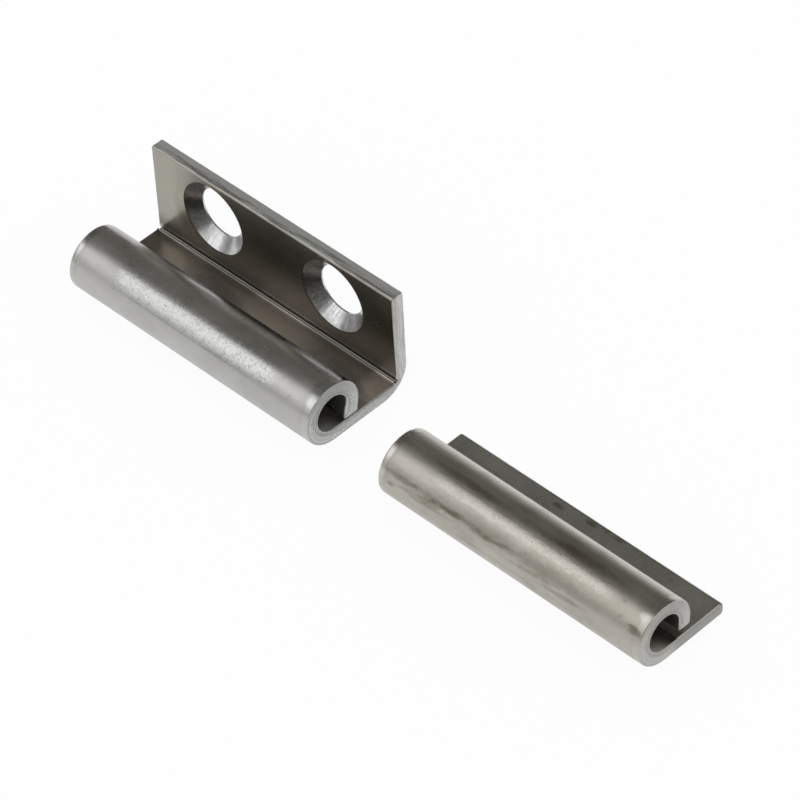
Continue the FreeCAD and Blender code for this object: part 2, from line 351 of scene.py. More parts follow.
@dataclass(frozen=True)
class RolledSteel(Steel):
    """Outer side of the strip: mottled grey, a pressed band on the knuckle, ends pale from wear, stain marks
    and grime, painted shade and painted highlights.
    """

    colour: Colour
    pale: Colour
    # Light tone of the pressed grain and the plate's streaks, and of the painted highlights.
    bright: Colour
    # Dark tone of real stains, pits and seams, and of the painted shade that dims reflections.
    stain_and_shade_colour: Colour
    stain_share: float
    press: Press
    stains_and_shade: Marks
    tints_and_highlights: Marks
    painted_highlights: Marks
    grime: Marks = ()
    tint_and_highlight_colour: Colour = (0.52, 0.46, 0.44)
    roughness: float = 0.38
    back_polish: float = 0.0
    press_polish: float = 0.13
    grain_share: float = 0.7
    brow_polish: float = 0.0
    flattening: float = 0.0
    hump: float = 0.0
    depth: float = 0.03

    def paint(self, skin: Skin) -> None:
        """Paint the steel.

        Args:
            skin: the material's graph.
        """
        x, y, z = skin.axes
        around = skin.around()
        cloud = skin.noise(8.0, 4.0, 0.55)
        spots = skin.noise(1.4, 4.0, 0.65)
        lines = skin.noise(0.7, 3.0, 0.6, stretch=(0.06, 1.0, 1.0))
        hoops = skin.noise(0.8, 3.0, 0.6, at=skin.join(x, around * 0.02, 0.0))
        grain = skin.noise(0.4, 2.0, 0.8, 0.3) + (spots - 0.5) * 0.35
        blots = skin.noise(4.0, 3.0, 0.6, 0.4, stretch=(0.55, 1.0, 1.0)).ramp(0.48, 0.74)
        pits = skin.noise(0.9, 1.0, 0.5).ramp(0.72, 0.78)
        drag = skin.noise(0.45, 4.0, 0.7, stretch=(0.035, 1.0, 1.0))

        wander = (spots - 0.5) * 16.0
        press = self.press
        along = (x + wander * 0.2).window(press.first, press.last, 1.6)
        pressed = (around + wander).window(press.low, press.high, 3.0) * along
        fringe = (around + wander * 0.5).window(press.low - 3.0, press.high + 2.0, 4.0) * along
        # The angle starts again under the axis, so the flat underside is counted on from the knuckle
        onward = around + z.ramp(-4.9, -5.1) * y.apply("GREATER_THAN", 0.0) * 360.0
        back = (onward - along * 18.0).ramp(108.0, 88.0)
        ends = 1.0 - (x + wander * 0.012).window(1.15, 48.8, 0.12)
        far_seam = (x + wander * 0.015 + (cloud - 0.5) * 1.2).window(1.1, 1.26, 0.1)
        near_seam = (x + wander * 0.02).window(48.5, 48.6, 0.12)
        outside = y.ramp(4.0, 9.0)
        edge = (around + wander * 0.4).ramp(press.low + 1.5, press.low - 3.0)
        soiled = skin.cover(self.grime, around, 1.2) * edge * (hoops * 0.6 + 0.7)
        # Stain marks are real stains and, in places, painted shade that dims reflections; blots and grime are
        # real.
        stain_and_shade_cover = skin.cover(self.stains_and_shade, around) + blots * (self.stain_share + outside * 0.3) + soiled

        colour = skin.coats(
            self.colour,
            (cloud.ramp(0.36, 0.66), self.pale),
            (ends * 0.4, self.pale),
            (pressed * grain.ramp(0.36, 0.56) * self.grain_share, self.bright),
            # Warm, lighter patches on the highlight band: partly a warm tint of the steel, partly painted
            # highlight.
            (skin.cover(self.tints_and_highlights, around), self.tint_and_highlight_colour),
            (stain_and_shade_cover, self.stain_and_shade_colour),
            (pits * 0.25 + far_seam * 0.35 + near_seam * 0.25, self.stain_and_shade_colour),
            (pressed * grain.ramp(0.42, 0.3) * 0.22, self.stain_and_shade_colour),
            # Painted highlights: lighter marks on the knuckle, its back and its end rings, where highlights
            # are painted in.
            (skin.cover(self.painted_highlights, around), self.bright),
            (outside * drag.ramp(0.58, 0.72) * 0.35, self.stain_and_shade_colour),
            (outside * drag.ramp(0.4, 0.28) * 0.4, self.bright),
        )
        polish = (back * self.back_polish).apply("MAXIMUM", pressed * self.press_polish)
        roughness = (
            self.roughness + (cloud - 0.5) * 0.12 + (hoops - 0.5) * 0.1 + (lines - 0.5) * 0.06
            - onward.ramp(68.0, 50.0) * self.brow_polish - polish - ends * 0.1 + stain_and_shade_cover * 0.1
        )
        relief = (
            (lines + outside * drag) * 0.2 + hoops * 0.15 + spots * 0.2 + grain * (fringe * 0.45 + 0.06)
            - onward.ramp(press.low - 27.0, press.low + 33.0) * (self.flattening / self.depth)
            + onward.ramp(46.0, 92.0) * (self.hump / self.depth)
            - onward.ramp(26.0, 54.0) * (self.hump * 0.8 / self.depth)
        )
        skin.metal(colour, roughness, relief, self.depth)


@dataclass(frozen=True)
class ChannelSteel(Steel):
    """Dark mill-skinned side: the channel by the flange and the tab, with painted shade, reflections and
    sheens.
    """

    # Flange wall tones: upright is the lighter painted reflection higher up, foot the darker painted shade at
    # its foot.
    upright: Colour
    foot: Colour
    flat: Colour
    # Dark tone of the painted shade in the corner, and of the grit's dark specks.
    corner: Colour
    roughness: float
    corner_shade_start: float
    corner_shade_end: float
    painted_sheens: Marks
    painted_sheen_colour: Colour = (0.62, 0.55, 0.51)
    grit_share: float = 0.1
    specks: Marks = ()
    scuffs: Marks = ()
    mottle: float = 0.0
    # Light grey of real scuffs and grit, and of the painted highlight along the burr's rim.
    rub_and_glint: Colour = (0.5, 0.5, 0.47)
    rim_start: float = 12.28
    rim_end: float = 12.6

    def paint(self, skin: Skin) -> None:
        """Paint the steel.

        Args:
            skin: the material's graph.
        """
        x, y, z = skin.axes
        cloud = skin.noise(6.0, 4.0, 0.55)
        lines = skin.noise(0.6, 3.0, 0.6, stretch=(1.0, 1.0, 0.08))
        spots = skin.noise(1.2, 3.0, 0.6)
        grit = skin.noise(0.35, 3.0, 0.75)
        low = z.ramp(-2.6, -2.75)
        # The flange's far end, where a pale painted reflection lies on the wall.
        end = x.ramp(7.0, 3.5) * z.ramp(-2.1, 1.5)

        # Painted shade: the plate darkens towards the flange's foot, and the tab towards its rounded outer
        # edge.
        flat = skin.coats(self.flat, (y.ramp(self.corner_shade_start, self.corner_shade_end), self.corner))
        # Painted shade and painted reflection: the wall darkens towards its foot and is lighter upwards and
        # at its far end.
        wall = skin.coats(
            self.foot,
            (z.ramp(-0.5, 7.5).apply("MAXIMUM", end), self.upright),
            # The wall turns a lighter grey just above the groove.
            (z.ramp(-1.6, -2.6), self.rub_and_glint),
        )
        # Painted light: the groove past the burr is painted lighter than the corner, filling its shade.
        groove_fill_light = tuple(2.2 * value for value in self.corner)
        colour = skin.coats(
            flat,
            (z.ramp(-2.8, -2.6), wall),
            (cloud.ramp(0.6, 0.4) * 0.15, self.foot),
            (grit.ramp(0.46, 0.66) * self.grit_share, self.corner),
            (grit.ramp(0.42, 0.32) * self.grit_share, self.rub_and_glint),
            # Painted sheens: lighter warm patches on the plate and the tab that stand in for reflections.
            (skin.cover(self.painted_sheens, y, 1.5, 3.0) * low, self.painted_sheen_colour),
            # Painted highlight: a faint light line along the burr's rim.
            (y.window(self.rim_start, self.rim_end, 0.05) * low * 0.12, self.rub_and_glint),
            (y.ramp(self.rim_end, self.rim_end + 0.1) * low, groove_fill_light),
            (skin.cover(self.specks, y, size=0.6), self.foot),
            (skin.cover(self.scuffs, y, size=0.8), self.rub_and_glint),
        )
        roughness = (
            self.roughness + (cloud - 0.5) * 0.08 + (lines - 0.5) * 0.06 + z.ramp(4.0, 9.0) * 0.08
            + (spots - 0.5) * self.mottle
        )
        relief = lines * 0.4 + spots * 0.2 + grit * (self.grit_share * 2.0)
        skin.metal(colour, roughness, relief, depth=0.012)


@dataclass(frozen=True)
class ShearedSteel(Steel):
    """Cut faces of the strip: a smooth zone and a torn one, with lines that follow the strip."""

    colour: Colour
    dark: Colour
    # Light tone of crumbs, edges and the flange top, and of the painted light on the flange's end face.
    bright: Colour
    roughness: float = 0.42
    inner_face: float = 12.9
    top_shade: float = 0.75
    strip_shade: float = 0.35
    crumb_share: float = 0.65
    layer_share: float = 0.85

    def paint(self, skin: Skin) -> None:
        """Paint the steel.

        Args:
            skin: the material's graph.
        """
        x, y, z = skin.axes
        depth = self._depth(y, z)
        layers = skin.noise(0.3, 3.0, 0.6, at=skin.join(depth, x * 0.05, (y + z) * 0.07))
        cloud = skin.noise(2.2, 4.0, 0.6)
        crumbs = 0.5 + (skin.noise(0.4, 3.0, 0.75) - 0.5) * self.crumb_share
        torn = (depth + (cloud - 0.5) * 1.2).ramp(1.0, 0.6)
        edges = depth.ramp(0.3, 0.05) + depth.ramp(2.05, 2.25) * 0.6
        crown = z.ramp(12.95, 13.2)
        outer = crown * depth.ramp(1.0, 1.4)
        shaded = z.ramp(0.5, 4.5) * y.ramp(6.0, 3.5) * self.top_shade
        shaded = shaded + y.ramp(1.0, 3.0) * z.ramp(-2.6, -3.1) * self.strip_shade

        colour = skin.coats(
            self.colour,
            (layers.ramp(0.44, 0.6) * self.layer_share, self.dark),
            (torn * 0.4 + crumbs.ramp(0.48, 0.6) * (torn * 0.3 + 0.55), self.dark),
            (shaded, self.dark),
            (crumbs.ramp(0.45, 0.36) * 0.7, self.bright),
            (edges * (0.2 + crumbs.ramp(0.4, 0.6) * 0.5), self.bright),
            # Painted light: the flange's end face is painted lighter than the rest of the cut face.
            (y.ramp(12.0, 13.4) * (1.0 - crown) * 0.2, self.bright),
            (crown * (layers.ramp(0.56, 0.4) + outer * 0.9 + 0.1), self.bright),
        )
        roughness = self.roughness + (cloud - 0.5) * 0.15 + torn * 0.06 - edges * 0.05 + crown * 0.2
        skin.metal(colour, roughness, layers * 0.5 + crumbs * (torn * 0.4 + 0.2), depth=0.035)

    def _depth(self, y: Reading, z: Reading) -> Reading:
        """Give how deep a place is in the strip, from its inner side, in millimetres.

        Args:
            y: the coordinate across the leaf.
            z: the height above the knuckle axis.

        Returns:
            The depth.
        """
        rolled = (y * y + z * z).apply("SQRT") - BORE
        bent = (-z - BORE).apply("MAXIMUM", y - self.inner_face)
        below = z.apply("LESS_THAN", -BORE) * y.apply("GREATER_THAN", 0.0)
        straight = below.apply("MAXIMUM", y.apply("GREATER_THAN", self.inner_face - 0.5))
        return straight * bent + (1.0 - straight) * rolled


@dataclass(frozen=True)
class BoreSteel(Steel):
    """Inside of a rolled knuckle: dull, with painted light that makes its low wall paler near both ends."""

    colour: Colour
    # Paler tone of the painted light near the bore's openings.
    mouth_light: Colour
    roughness: float

    def paint(self, skin: Skin) -> None:
        """Paint the steel.

        Args:
            skin: the material's graph.
        """
        x, y, z = skin.axes
        cloud = skin.noise(2.5, 4.0, 0.6)
        # Painted light: the low wall near both ends is paler, where light falls in at the bore's openings.
        low = z.ramp(0.5, -1.8) * y.ramp(1.8, -0.6)
        mouth_light_mask = (1.0 - (x + (cloud - 0.5) * 3.0).window(2.0, 48.0, 2.0)) * low
        colour = skin.coats(self.colour, (cloud.ramp(0.35, 0.7), darker(self.colour)), (mouth_light_mask, self.mouth_light))
        skin.metal(colour, self.roughness + (cloud - 0.5) * 0.2 + mouth_light_mask * 0.45, cloud, depth=0.03)


@dataclass(frozen=True)
class CountersinkSteel(Steel):
    """Cone cut by a countersink: bright, with turning marks round it and streaks towards the hole."""

    middle: float
    half_spacing: float
    hole_height: float
    colour: Colour
    dark: Colour
    bright: Colour
    roughness: float

    def paint(self, skin: Skin) -> None:
        """Paint the steel.

        Args:
            skin: the material's graph.
        """
        x, _, z = skin.axes
        second = x.apply("GREATER_THAN", self.middle)
        sideways = x - self.middle - (second * 2.0 - 1.0) * self.half_spacing
        upwards = z - self.hole_height
        turn = upwards.apply("ARCTAN2", sideways)
        radius = (sideways * sideways + upwards * upwards).apply("SQRT")
        radial = skin.join(turn * (second * 0.7 + 1.0), radius * 0.06, second * 7.3)
        streaks = skin.noise(0.14, 3.0, 0.7, at=radial)
        rings = skin.noise(0.16, 2.0, 0.6, at=skin.join(radius, turn * 0.03, second * 3.1))
        cloud = skin.noise(1.5, 3.0, 0.6)
        colour = skin.coats(
            self.colour,
            (cloud.ramp(0.4, 0.62) * 0.6, self.dark),
            (streaks.ramp(0.54, 0.68) * (second * 0.25 + 0.7), self.dark),
            (streaks.ramp(0.44, 0.32) * (second * 0.25 + 0.7), self.bright),
        )
        roughness = self.roughness + (cloud - 0.5) * 0.15
        skin.metal(colour, roughness, streaks * 0.6 + rings * 0.25, depth=0.03)


@dataclass(frozen=True)
class DrawnSteel(Steel):
    """Drawn pin wire: smooth, with faint lines along it and turning marks on its ends."""

    colour: Colour = (0.45, 0.45, 0.45)
    roughness: float = 0.45

    def paint(self, skin: Skin) -> None:
        """Paint the steel.

        Args:
            skin: the material's graph.
        """
        _, y, z = skin.axes
        radius = (y * y + z * z).apply("SQRT")
        turned = skin.noise(0.22, 3.0, 0.7, at=skin.join(radius, z * 0.05, 0.0))
        lines = skin.noise(0.25, 2.0, 0.6, stretch=(0.02, 1.0, 1.0))
        cloud = skin.noise(5.0, 3.0, 0.5)
        dark = darker(self.colour)
        colour = skin.coats(
            self.colour, (cloud.ramp(0.4, 0.65) * 0.7, dark), (turned.ramp(0.45, 0.62) * 0.7, dark)
        )
        skin.metal(colour, self.roughness + (lines - 0.5) * 0.15, lines + turned, depth=0.015)


# Shaping


class Outline:
    """A closed outline across the knuckle axis, drawn by moving its last vertex on."""

    def __init__(self, mesh: Mesh, start: SectionPoint) -> None:
        """Put down the first vertex, at a (Y, Z) point."""
        self.mesh = mesh
        self.first = bmesh.ops.create_vert(mesh, co=(0.0, *start))["vert"][0]
        self.last = self.first

    def line(self, end: SectionPoint) -> None:
        """Draw a straight line to a (Y, Z) point."""
        grown = bmesh.ops.extrude_vert_indiv(self.mesh, verts=[self.last])
        self.last = grown["verts"][0]
        bmesh.ops.translate(self.mesh, verts=[self.last], vec=Vector((0.0, *end)) - self.last.co)

    def arc(self, centre: SectionPoint, turn: float, steps: int) -> None:
        """Draw an arc about a (Y, Z) point.

        Args:
            centre: the arc's centre.
            turn: how far it turns, in degrees, counterclockwise from Y to Z.
            steps: how many pieces it has.
        """
        swept = bmesh.ops.spin(self.mesh, geom=[self.last], cent=(0.0, *centre), axis=ALONG,
                               angle=math.radians(turn), steps=steps, use_merge=False)
        self.last = next(item for item in swept["geom_last"] if isinstance(item, bmesh.types.BMVert))

    def round_corner(self, corner: SectionPoint, towards: SectionPoint, radius: float, turn: float,
                     steps: int) -> None:
        """Draw a line that ends in a rounded corner.

        Args:
            corner: the sharp corner.
            towards: the unit direction in which the outline leaves the corner.
            radius: the rounding.
            turn: how far the outline turns at the corner, in degrees.
            steps: how many pieces the rounding has.
        """
        run = radius * math.tan(math.radians(abs(turn)) / 2)
        side = math.copysign(1.0, turn)
        centre = (corner[0] + towards[0] * run - side * towards[1] * radius,
                  corner[1] + towards[1] * run + side * towards[0] * radius)
        angle = math.radians(turn)
        before = (towards[0] * math.cos(angle) + towards[1] * math.sin(angle),
                  towards[1] * math.cos(angle) - towards[0] * math.sin(angle))
        self.line((corner[0] - before[0] * run, corner[1] - before[1] * run))
        self.arc(centre, turn, steps)

    def close(self) -> None:
        """Join the last vertex to the first."""
        bmesh.ops.contextual_create(self.mesh, geom=[self.last, self.first])


def polar(radius: float, angle: float) -> SectionPoint:
    """Give the (Y, Z) point at a radius and an angle in degrees about the knuckle axis."""
    return radius * math.cos(math.radians(angle)), radius * math.sin(math.radians(angle))


def draw_out(mesh: Mesh, length: float, steps: int) -> None:
    """Draw an outline, with which the mesh holds nothing else, out along X by a length."""
    bmesh.ops.spin(mesh, geom=mesh.verts[:] + mesh.edges[:], cent=CENTRE, axis=ALONG,
                   dvec=(length / steps, 0.0, 0.0), angle=0.0, steps=steps, use_merge=False)


def sweep(mesh: Mesh, length: float, steps: int) -> None:
    """Draw an outline out along X into a closed bar.

    Args:
        mesh: holds the outline's edges and nothing else.
        length: how long the bar is.
        steps: how many pieces it has along X.
    """
    draw_out(mesh, length, steps)
    bmesh.ops.holes_fill(mesh, edges=[edge for edge in mesh.edges if edge.is_boundary], sides=0)
    bmesh.ops.recalc_face_normals(mesh, faces=mesh.faces[:])


def break_ends(mesh: Mesh, offset: float, segments: int) -> None:
    """Round the edges of a bar's two ends by an offset, or chamfer them where there is one segment."""
    edges = [edge for edge in mesh.edges if any(abs(face.normal.x) > END_ON for face in edge.link_faces)]
    bmesh.ops.bevel(mesh, geom=edges, offset=offset, offset_type="OFFSET", segments=segments,
                    profile=0.5, affect="EDGES", clamp_overlap=False, material=-1)


def smooth(mesh: Mesh) -> None:
    """Shade a mesh smooth, but for its sharp edges."""
    for face in mesh.faces:
        face.smooth = True
    for edge in mesh.edges:
        edge.smooth = len(edge.link_faces) == 2 and edge.calc_face_angle() < SHARP


def added(name: str, data: bpy.types.ID) -> bpy.types.Object:
    """Add an object to the scene.

    Args:
        name: the object's name.
        data: its mesh, lamp or camera.

    Returns:
        The object.
    """
    item = bpy.data.objects.new(name, data)
    bpy.context.scene.collection.objects.link(item)
    return item


def placed(name: str, mesh: Mesh) -> bpy.types.Object:
    """Put a shape into the scene.

    Args:
        name: the name of the object and of its mesh.
        mesh: the shape. It is freed.

    Returns:
        The object.
    """
    data = bpy.data.meshes.new(name)
    mesh.to_mesh(data)
    mesh.free()
    return added(name, data)


# Pieces


@dataclass
class Piece:
    """What every piece has. It stands for one node of the frame, and moves with the body of that name.

    Its axis is the (Y, Z) point of the knuckle axis, in metres.
    """

    axis: SectionPoint
    node: str = ""
    slot: Slot = Slot.PIN
    length: float = 50.0

    @property
    def origin(self) -> Point:
        """The point of the knuckle axis at the piece's end at low X, in metres."""
        return (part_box(self.node)[0].x, *self.axis)

    def finish_of(self, face: bmesh.types.BMFace) -> Finish:
        """Say which finish a face takes, here the first one."""
        return Finish.ROLLED

    def build(self) -> bpy.types.Object:
        """Build the piece, in millimetres at first, and dress it.

        Returns:
            The finished piece.
        """
        mesh = self.shape()
        mesh.normal_update()
        smooth(mesh)
        for face in mesh.faces:
            face.material_index = self.finish_of(face).value
        bmesh.ops.scale(mesh, verts=mesh.verts[:], vec=(MM, MM, MM))
        bmesh.ops.translate(mesh, verts=mesh.verts[:], vec=self.origin)
        piece = placed(f"{self.node}_steel", mesh)
        for finish in self.finishes():
            finish.lay_on(piece)
        weighted = piece.modifiers.new("face_weight", "WEIGHTED_NORMAL")
        weighted.keep_sharp = True
        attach(piece, self.node)
        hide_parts(self.node)
        return piece


@dataclass
class Leaf(Piece):
    """What both leaves have: a strip rolled at one edge into a knuckle."""

    lean: float = 0.0
    lip_height: float = 0.0
    lip_round: float = 0.35
    lip_steps: int = 8
    plate_start: float = 2.6
    end_round: float = 0.18
    along_steps: int = 100
    curl_steps: int = 72
    round_steps: int = 4
    end_steps: int = 3

    def lip_point(self, radius: float) -> SectionPoint:
        """Give the end of the curl's inner or outer wall, by the radius that it comes from."""
        foot = polar(radius, -self.lean)
        return foot[0] - math.tan(math.radians(self.lean)) * (foot[1] - self.lip_height), self.lip_height

    def roll(self, outline: Outline) -> None:
        """Draw the rolled knuckle, from the plate's upper side round to its underside.

        Args:
            outline: starts under the axis, on the bore.
        """
        inner = Vector(self.lip_point(BORE))
        foot = Vector(polar(BORE, -self.lean))
        wall = inner - foot
        straight = wall.length - self.lip_round * math.tan(math.radians(90.0 + self.lean) / 2)
        outline.arc((0.0, 0.0), -270.0 - self.lean, self.curl_steps)
        for step in range(1, self.lip_steps):
            outline.line(tuple(foot + wall.normalized() * straight * step / self.lip_steps))
        outline.round_corner(inner, (1.0, 0.0), self.lip_round, 90.0 + self.lean, self.round_steps)
        outline.round_corner(self.lip_point(KNUCKLE), polar(1.0, 90.0 - self.lean), self.lip_round,
                             90.0 - self.lean, self.round_steps)
        outline.line(polar(KNUCKLE, -self.lean))
        outline.arc((0.0, 0.0), 270.0 + self.lean, self.curl_steps)

    def finish_of(self, face: bmesh.types.BMFace) -> Finish:
        """Say which finish a face takes, by where it is and which way it faces.

        Args:
            face: a face of the leaf in millimetres.

        Returns:
            The finish.
        """
        middle = face.calc_center_median()
        if abs(face.normal.x) > END_ON:
            return Finish.SHEARED
        inwards = middle.y * face.normal.y + middle.z * face.normal.z < 0.0
        if inwards and middle.y < BORE and math.hypot(middle.y, middle.z) < BORE + 0.85:
            return Finish.BORE
        return Finish.ROLLED


@dataclass
class ScrewOnLeaf(Leaf):
    """Knuckle, flat plate and an upright flange with two countersunk holes."""

    node: str = "screw_on_leaf"
    slot: Slot = Slot.SCREW_LEAF
    lean: float = 11.0
    lip_height: float = -2.9
    reach: float = 15.2
    top: float = 13.3
    bend: float = 5.0
    bend_steps: int = 24
    crease: float = 0.3
    crease_offset: float = 0.08
    groove_steps: int = 13
    burr_run: float = 0.17
    spacing: float = 25.0
    hole_height: float = 6.2
    hole_radius: float = 4.2
    hole_steps: int = 96
    sink_radius: float = 6.15
    rim: float = 0.12
    pinch: float = 0.42
    pinch_length: float = 3.6
    pinch_top: float = 1.2

    @property
    def inner_face(self) -> float:
        """The flange's face towards the knuckle."""
        return self.reach - WALL

    def hole_middles(self) -> tuple[float, ...]:
        """Give where the two holes are along the leaf."""
        return tuple((self.length + side * self.spacing) / 2 for side in (-1, 1))

    def blank(self) -> Mesh:
        """Draw and sweep the strip.

        Returns:
            The leaf without its holes, in millimetres.
        """
        mesh = bmesh.new()
        half_mouth = math.sqrt(self.crease ** 2 - self.crease_offset ** 2)
        groove = (self.inner_face - self.crease_offset, self.crease_offset - BORE)
        outline = Outline(mesh, (0.0, -BORE))
        self.roll(outline)
        outline.line((self.reach - self.bend, -KNUCKLE))
        outline.arc((self.reach - self.bend, self.bend - KNUCKLE), 90.0, self.bend_steps)
        outline.round_corner((self.reach, self.top), (-1.0, 0.0), self.lip_round, 90.0, self.round_steps)
        outline.round_corner((self.inner_face, self.top), (0.0, -1.0), self.lip_round, 90.0, self.round_steps)
        outline.line((self.inner_face, groove[1] + half_mouth))
        outline.arc(groove, -270.0, self.groove_steps)
        outline.line((groove[0] - half_mouth - self.burr_run, -BORE))
        outline.line((self.plate_start, -BORE))
        outline.close()
        sweep(mesh, self.length, self.along_steps)
        self.pinch_lip(mesh)
        break_ends(mesh, self.end_round, self.end_steps)
        return mesh

    def pinch_lip(self, mesh: Mesh) -> None:
        """Press the lip's inner wall inwards near both ends, where the shear squeezed it.

        Args:
            mesh: the swept leaf in millimetres.
        """
        for vertex in mesh.verts:
            place = vertex.co
            inner = place.y > 1.5 and math.hypot(place.y, place.z) < BORE + 1.0
            if not inner or place.z < self.lip_height - 0.05 or place.z > self.pinch_top:
                continue
            from_end = min(place.x, self.length - place.x) / self.pinch_length
            down = min(1.0, max(0.0, (self.pinch_top - place.z) / 2.0))
            if from_end < 1.0:
                fade = (1.0 - from_end * from_end) ** 2
                place.y -= self.pinch * fade * down * down * (3.0 - 2.0 * down)

    def cutter(self, x: float) -> Mesh:
        """Shape the tool that cuts one countersunk hole.

        Args:
            x: where the hole is along the leaf.

        Returns:
            The tool, in millimetres.
        """
        mesh = bmesh.new()
        front = self.inner_face
        steps = (
            (0.0, front - 1.0),
            (self.sink_radius + self.rim, front - 1.0),
            (self.sink_radius + self.rim, front),
            (self.sink_radius, front + self.rim / 2),
            (self.hole_radius, front + self.sink_radius - self.hole_radius),
            (self.hole_radius, self.reach - self.rim),
            (self.hole_radius + self.rim, self.reach),
            (self.hole_radius + self.rim, self.reach + 1.0),
            (0.0, self.reach + 1.0),
        )
        last = bmesh.ops.create_vert(mesh, co=(x, steps[0][1], self.hole_height))["vert"][0]
        for radius, y in steps[1:]:
            grown = bmesh.ops.extrude_vert_indiv(mesh, verts=[last])["verts"][0]
            bmesh.ops.translate(mesh, verts=[grown], vec=Vector((x + radius, y, self.hole_height)) - grown.co)
            last = grown
        bmesh.ops.spin(mesh, geom=mesh.verts[:] + mesh.edges[:], cent=(x, 0.0, self.hole_height),
                       axis=(0.0, 1.0, 0.0), angle=math.tau, steps=self.hole_steps, use_merge=True)
        bmesh.ops.remove_doubles(mesh, verts=mesh.verts[:], dist=1e-4)
        bmesh.ops.recalc_face_normals(mesh, faces=mesh.faces[:])
        return mesh

    def shape(self) -> Mesh:
        """Cut both holes in the swept strip.

        Returns:
            The leaf, in millimetres.
        """
        host = placed("leaf_blank", self.blank())
        tools = [placed("countersink_tool", self.cutter(x)) for x in self.hole_middles()]
        for tool in tools:
            cut = host.modifiers.new("hole", "BOOLEAN")
            cut.operation = "DIFFERENCE"
            cut.solver = "EXACT"
            cut.object = tool
        bpy.context.view_layer.update()
        drilled = bpy.data.meshes.new_from_object(host.evaluated_get(bpy.context.evaluated_depsgraph_get()))
        mesh = bmesh.new()
        mesh.from_mesh(drilled)
        for item in (host, *tools):
            bpy.data.objects.remove(item)
        bmesh.ops.remove_doubles(mesh, verts=mesh.verts[:], dist=1e-3)
        return mesh

    def finish_of(self, face: bmesh.types.BMFace) -> Finish:
        """Say which finish a face takes, the holes' walls among them.

        Args:
            face: a face of the leaf in millimetres.

        Returns:
            The finish.
        """
        middle = face.calc_center_median()
        front = self.inner_face
        side = abs(middle.x - self.length / 2) - self.spacing / 2
        inside = front + 0.02 < middle.y < self.reach - 0.02
        if inside and math.hypot(side, middle.z - self.hole_height) < self.sink_radius + 0.05:
            return Finish.COUNTERSINK
        plain = super().finish_of(face)
        if plain is not Finish.ROLLED:
            return plain
        if face.normal.z > 0.7 and middle.z > self.top - 0.3:
            return Finish.SHEARED
        plate = face.normal.z > 0.3 and middle.z < 0.6 - BORE and middle.y > 0.0
        flange = face.normal.y < -0.3 and abs(middle.y - front) < 0.3
        bend = middle.y > front - 1.0 and abs(middle.z + BORE) < 0.9 and face.normal.y < 0.1
        if plate or flange or bend:
            return Finish.CHANNEL
        return Finish.ROLLED

    def finishes(self) -> tuple[Steel, ...]:
        """List the leaf's finishes.

        Returns:
            The finishes, in the order of the Finish enum.
        """
        # Real stains; the two marks on the knuckle's back near 52 and 54 degrees are painted shade dimming
        # the holes' reflections.
        stains_and_shade = (
            Mark(25, 151.5, 16, 2.5, 0.35), Mark(7, 106, 3, 7, 0.3), Mark(0.6, 92, 0.6, 12, 0.5),
            Mark(0.6, 138, 0.5, 7, 0.3), Mark(48.3, 103, 0.7, 14, 0.45), Mark(45.5, 54, 6.5, 9, 0.95),
            Mark(18, 52, 6, 6.5, 0.85), Mark(32, 110, 8, 5, 0.2),
        )
        tints_and_highlights = (Mark(4.2, 129, 5, 19, 0.7), Mark(45, 129, 3.8, 19, 0.6), Mark(7.5, 176, 2, 7, 0.2))
        # Painted highlights beside the near end ring and on the far end ring.
        painted_highlights = (Mark(49.1, 128, 0.9, 14, 0.9), Mark(0.5, 118, 0.6, 12, 0.9), Mark(0.5, 131, 0.6, 11, 0.6))
        painted_sheens = (Mark(7.5, 10, 5, 3.5, 0.3), Mark(28, 10.5, 9, 3.5, 0.55), Mark(48.5, 10.5, 3, 4, 0.8))
        return (
            RolledSteel("screw_leaf_rolled", self.origin, (0.445, 0.44, 0.425), (0.495, 0.49, 0.475),
                        (0.64, 0.64, 0.63), (0.2, 0.18, 0.155), 0.08, Press(9.0, 41.5, 112.0, 149.0),
                        stains_and_shade, tints_and_highlights, painted_highlights, tint_and_highlight_colour=(0.6, 0.575, 0.555), back_polish=0.09),
            ShearedSteel("screw_leaf_sheared", self.origin, (0.56, 0.56, 0.55), (0.32, 0.32, 0.31),
                         (0.74, 0.74, 0.73)),
            BoreSteel("screw_leaf_bore", self.origin, (0.45, 0.44, 0.41), (0.7, 0.7, 0.67), 0.55),
            ChannelSteel("screw_leaf_channel", self.origin, (0.36, 0.345, 0.295), (0.15, 0.141, 0.121),
                         (0.297, 0.264, 0.233), (0.125, 0.115, 0.1), 0.24, 10.5, 12.6, painted_sheens),
            CountersinkSteel("screw_leaf_countersink", self.origin, self.length / 2, self.spacing / 2,
                             self.hole_height, (0.64, 0.64, 0.65), (0.42, 0.42, 0.43), (0.84, 0.84, 0.85),
                             0.28),
        )


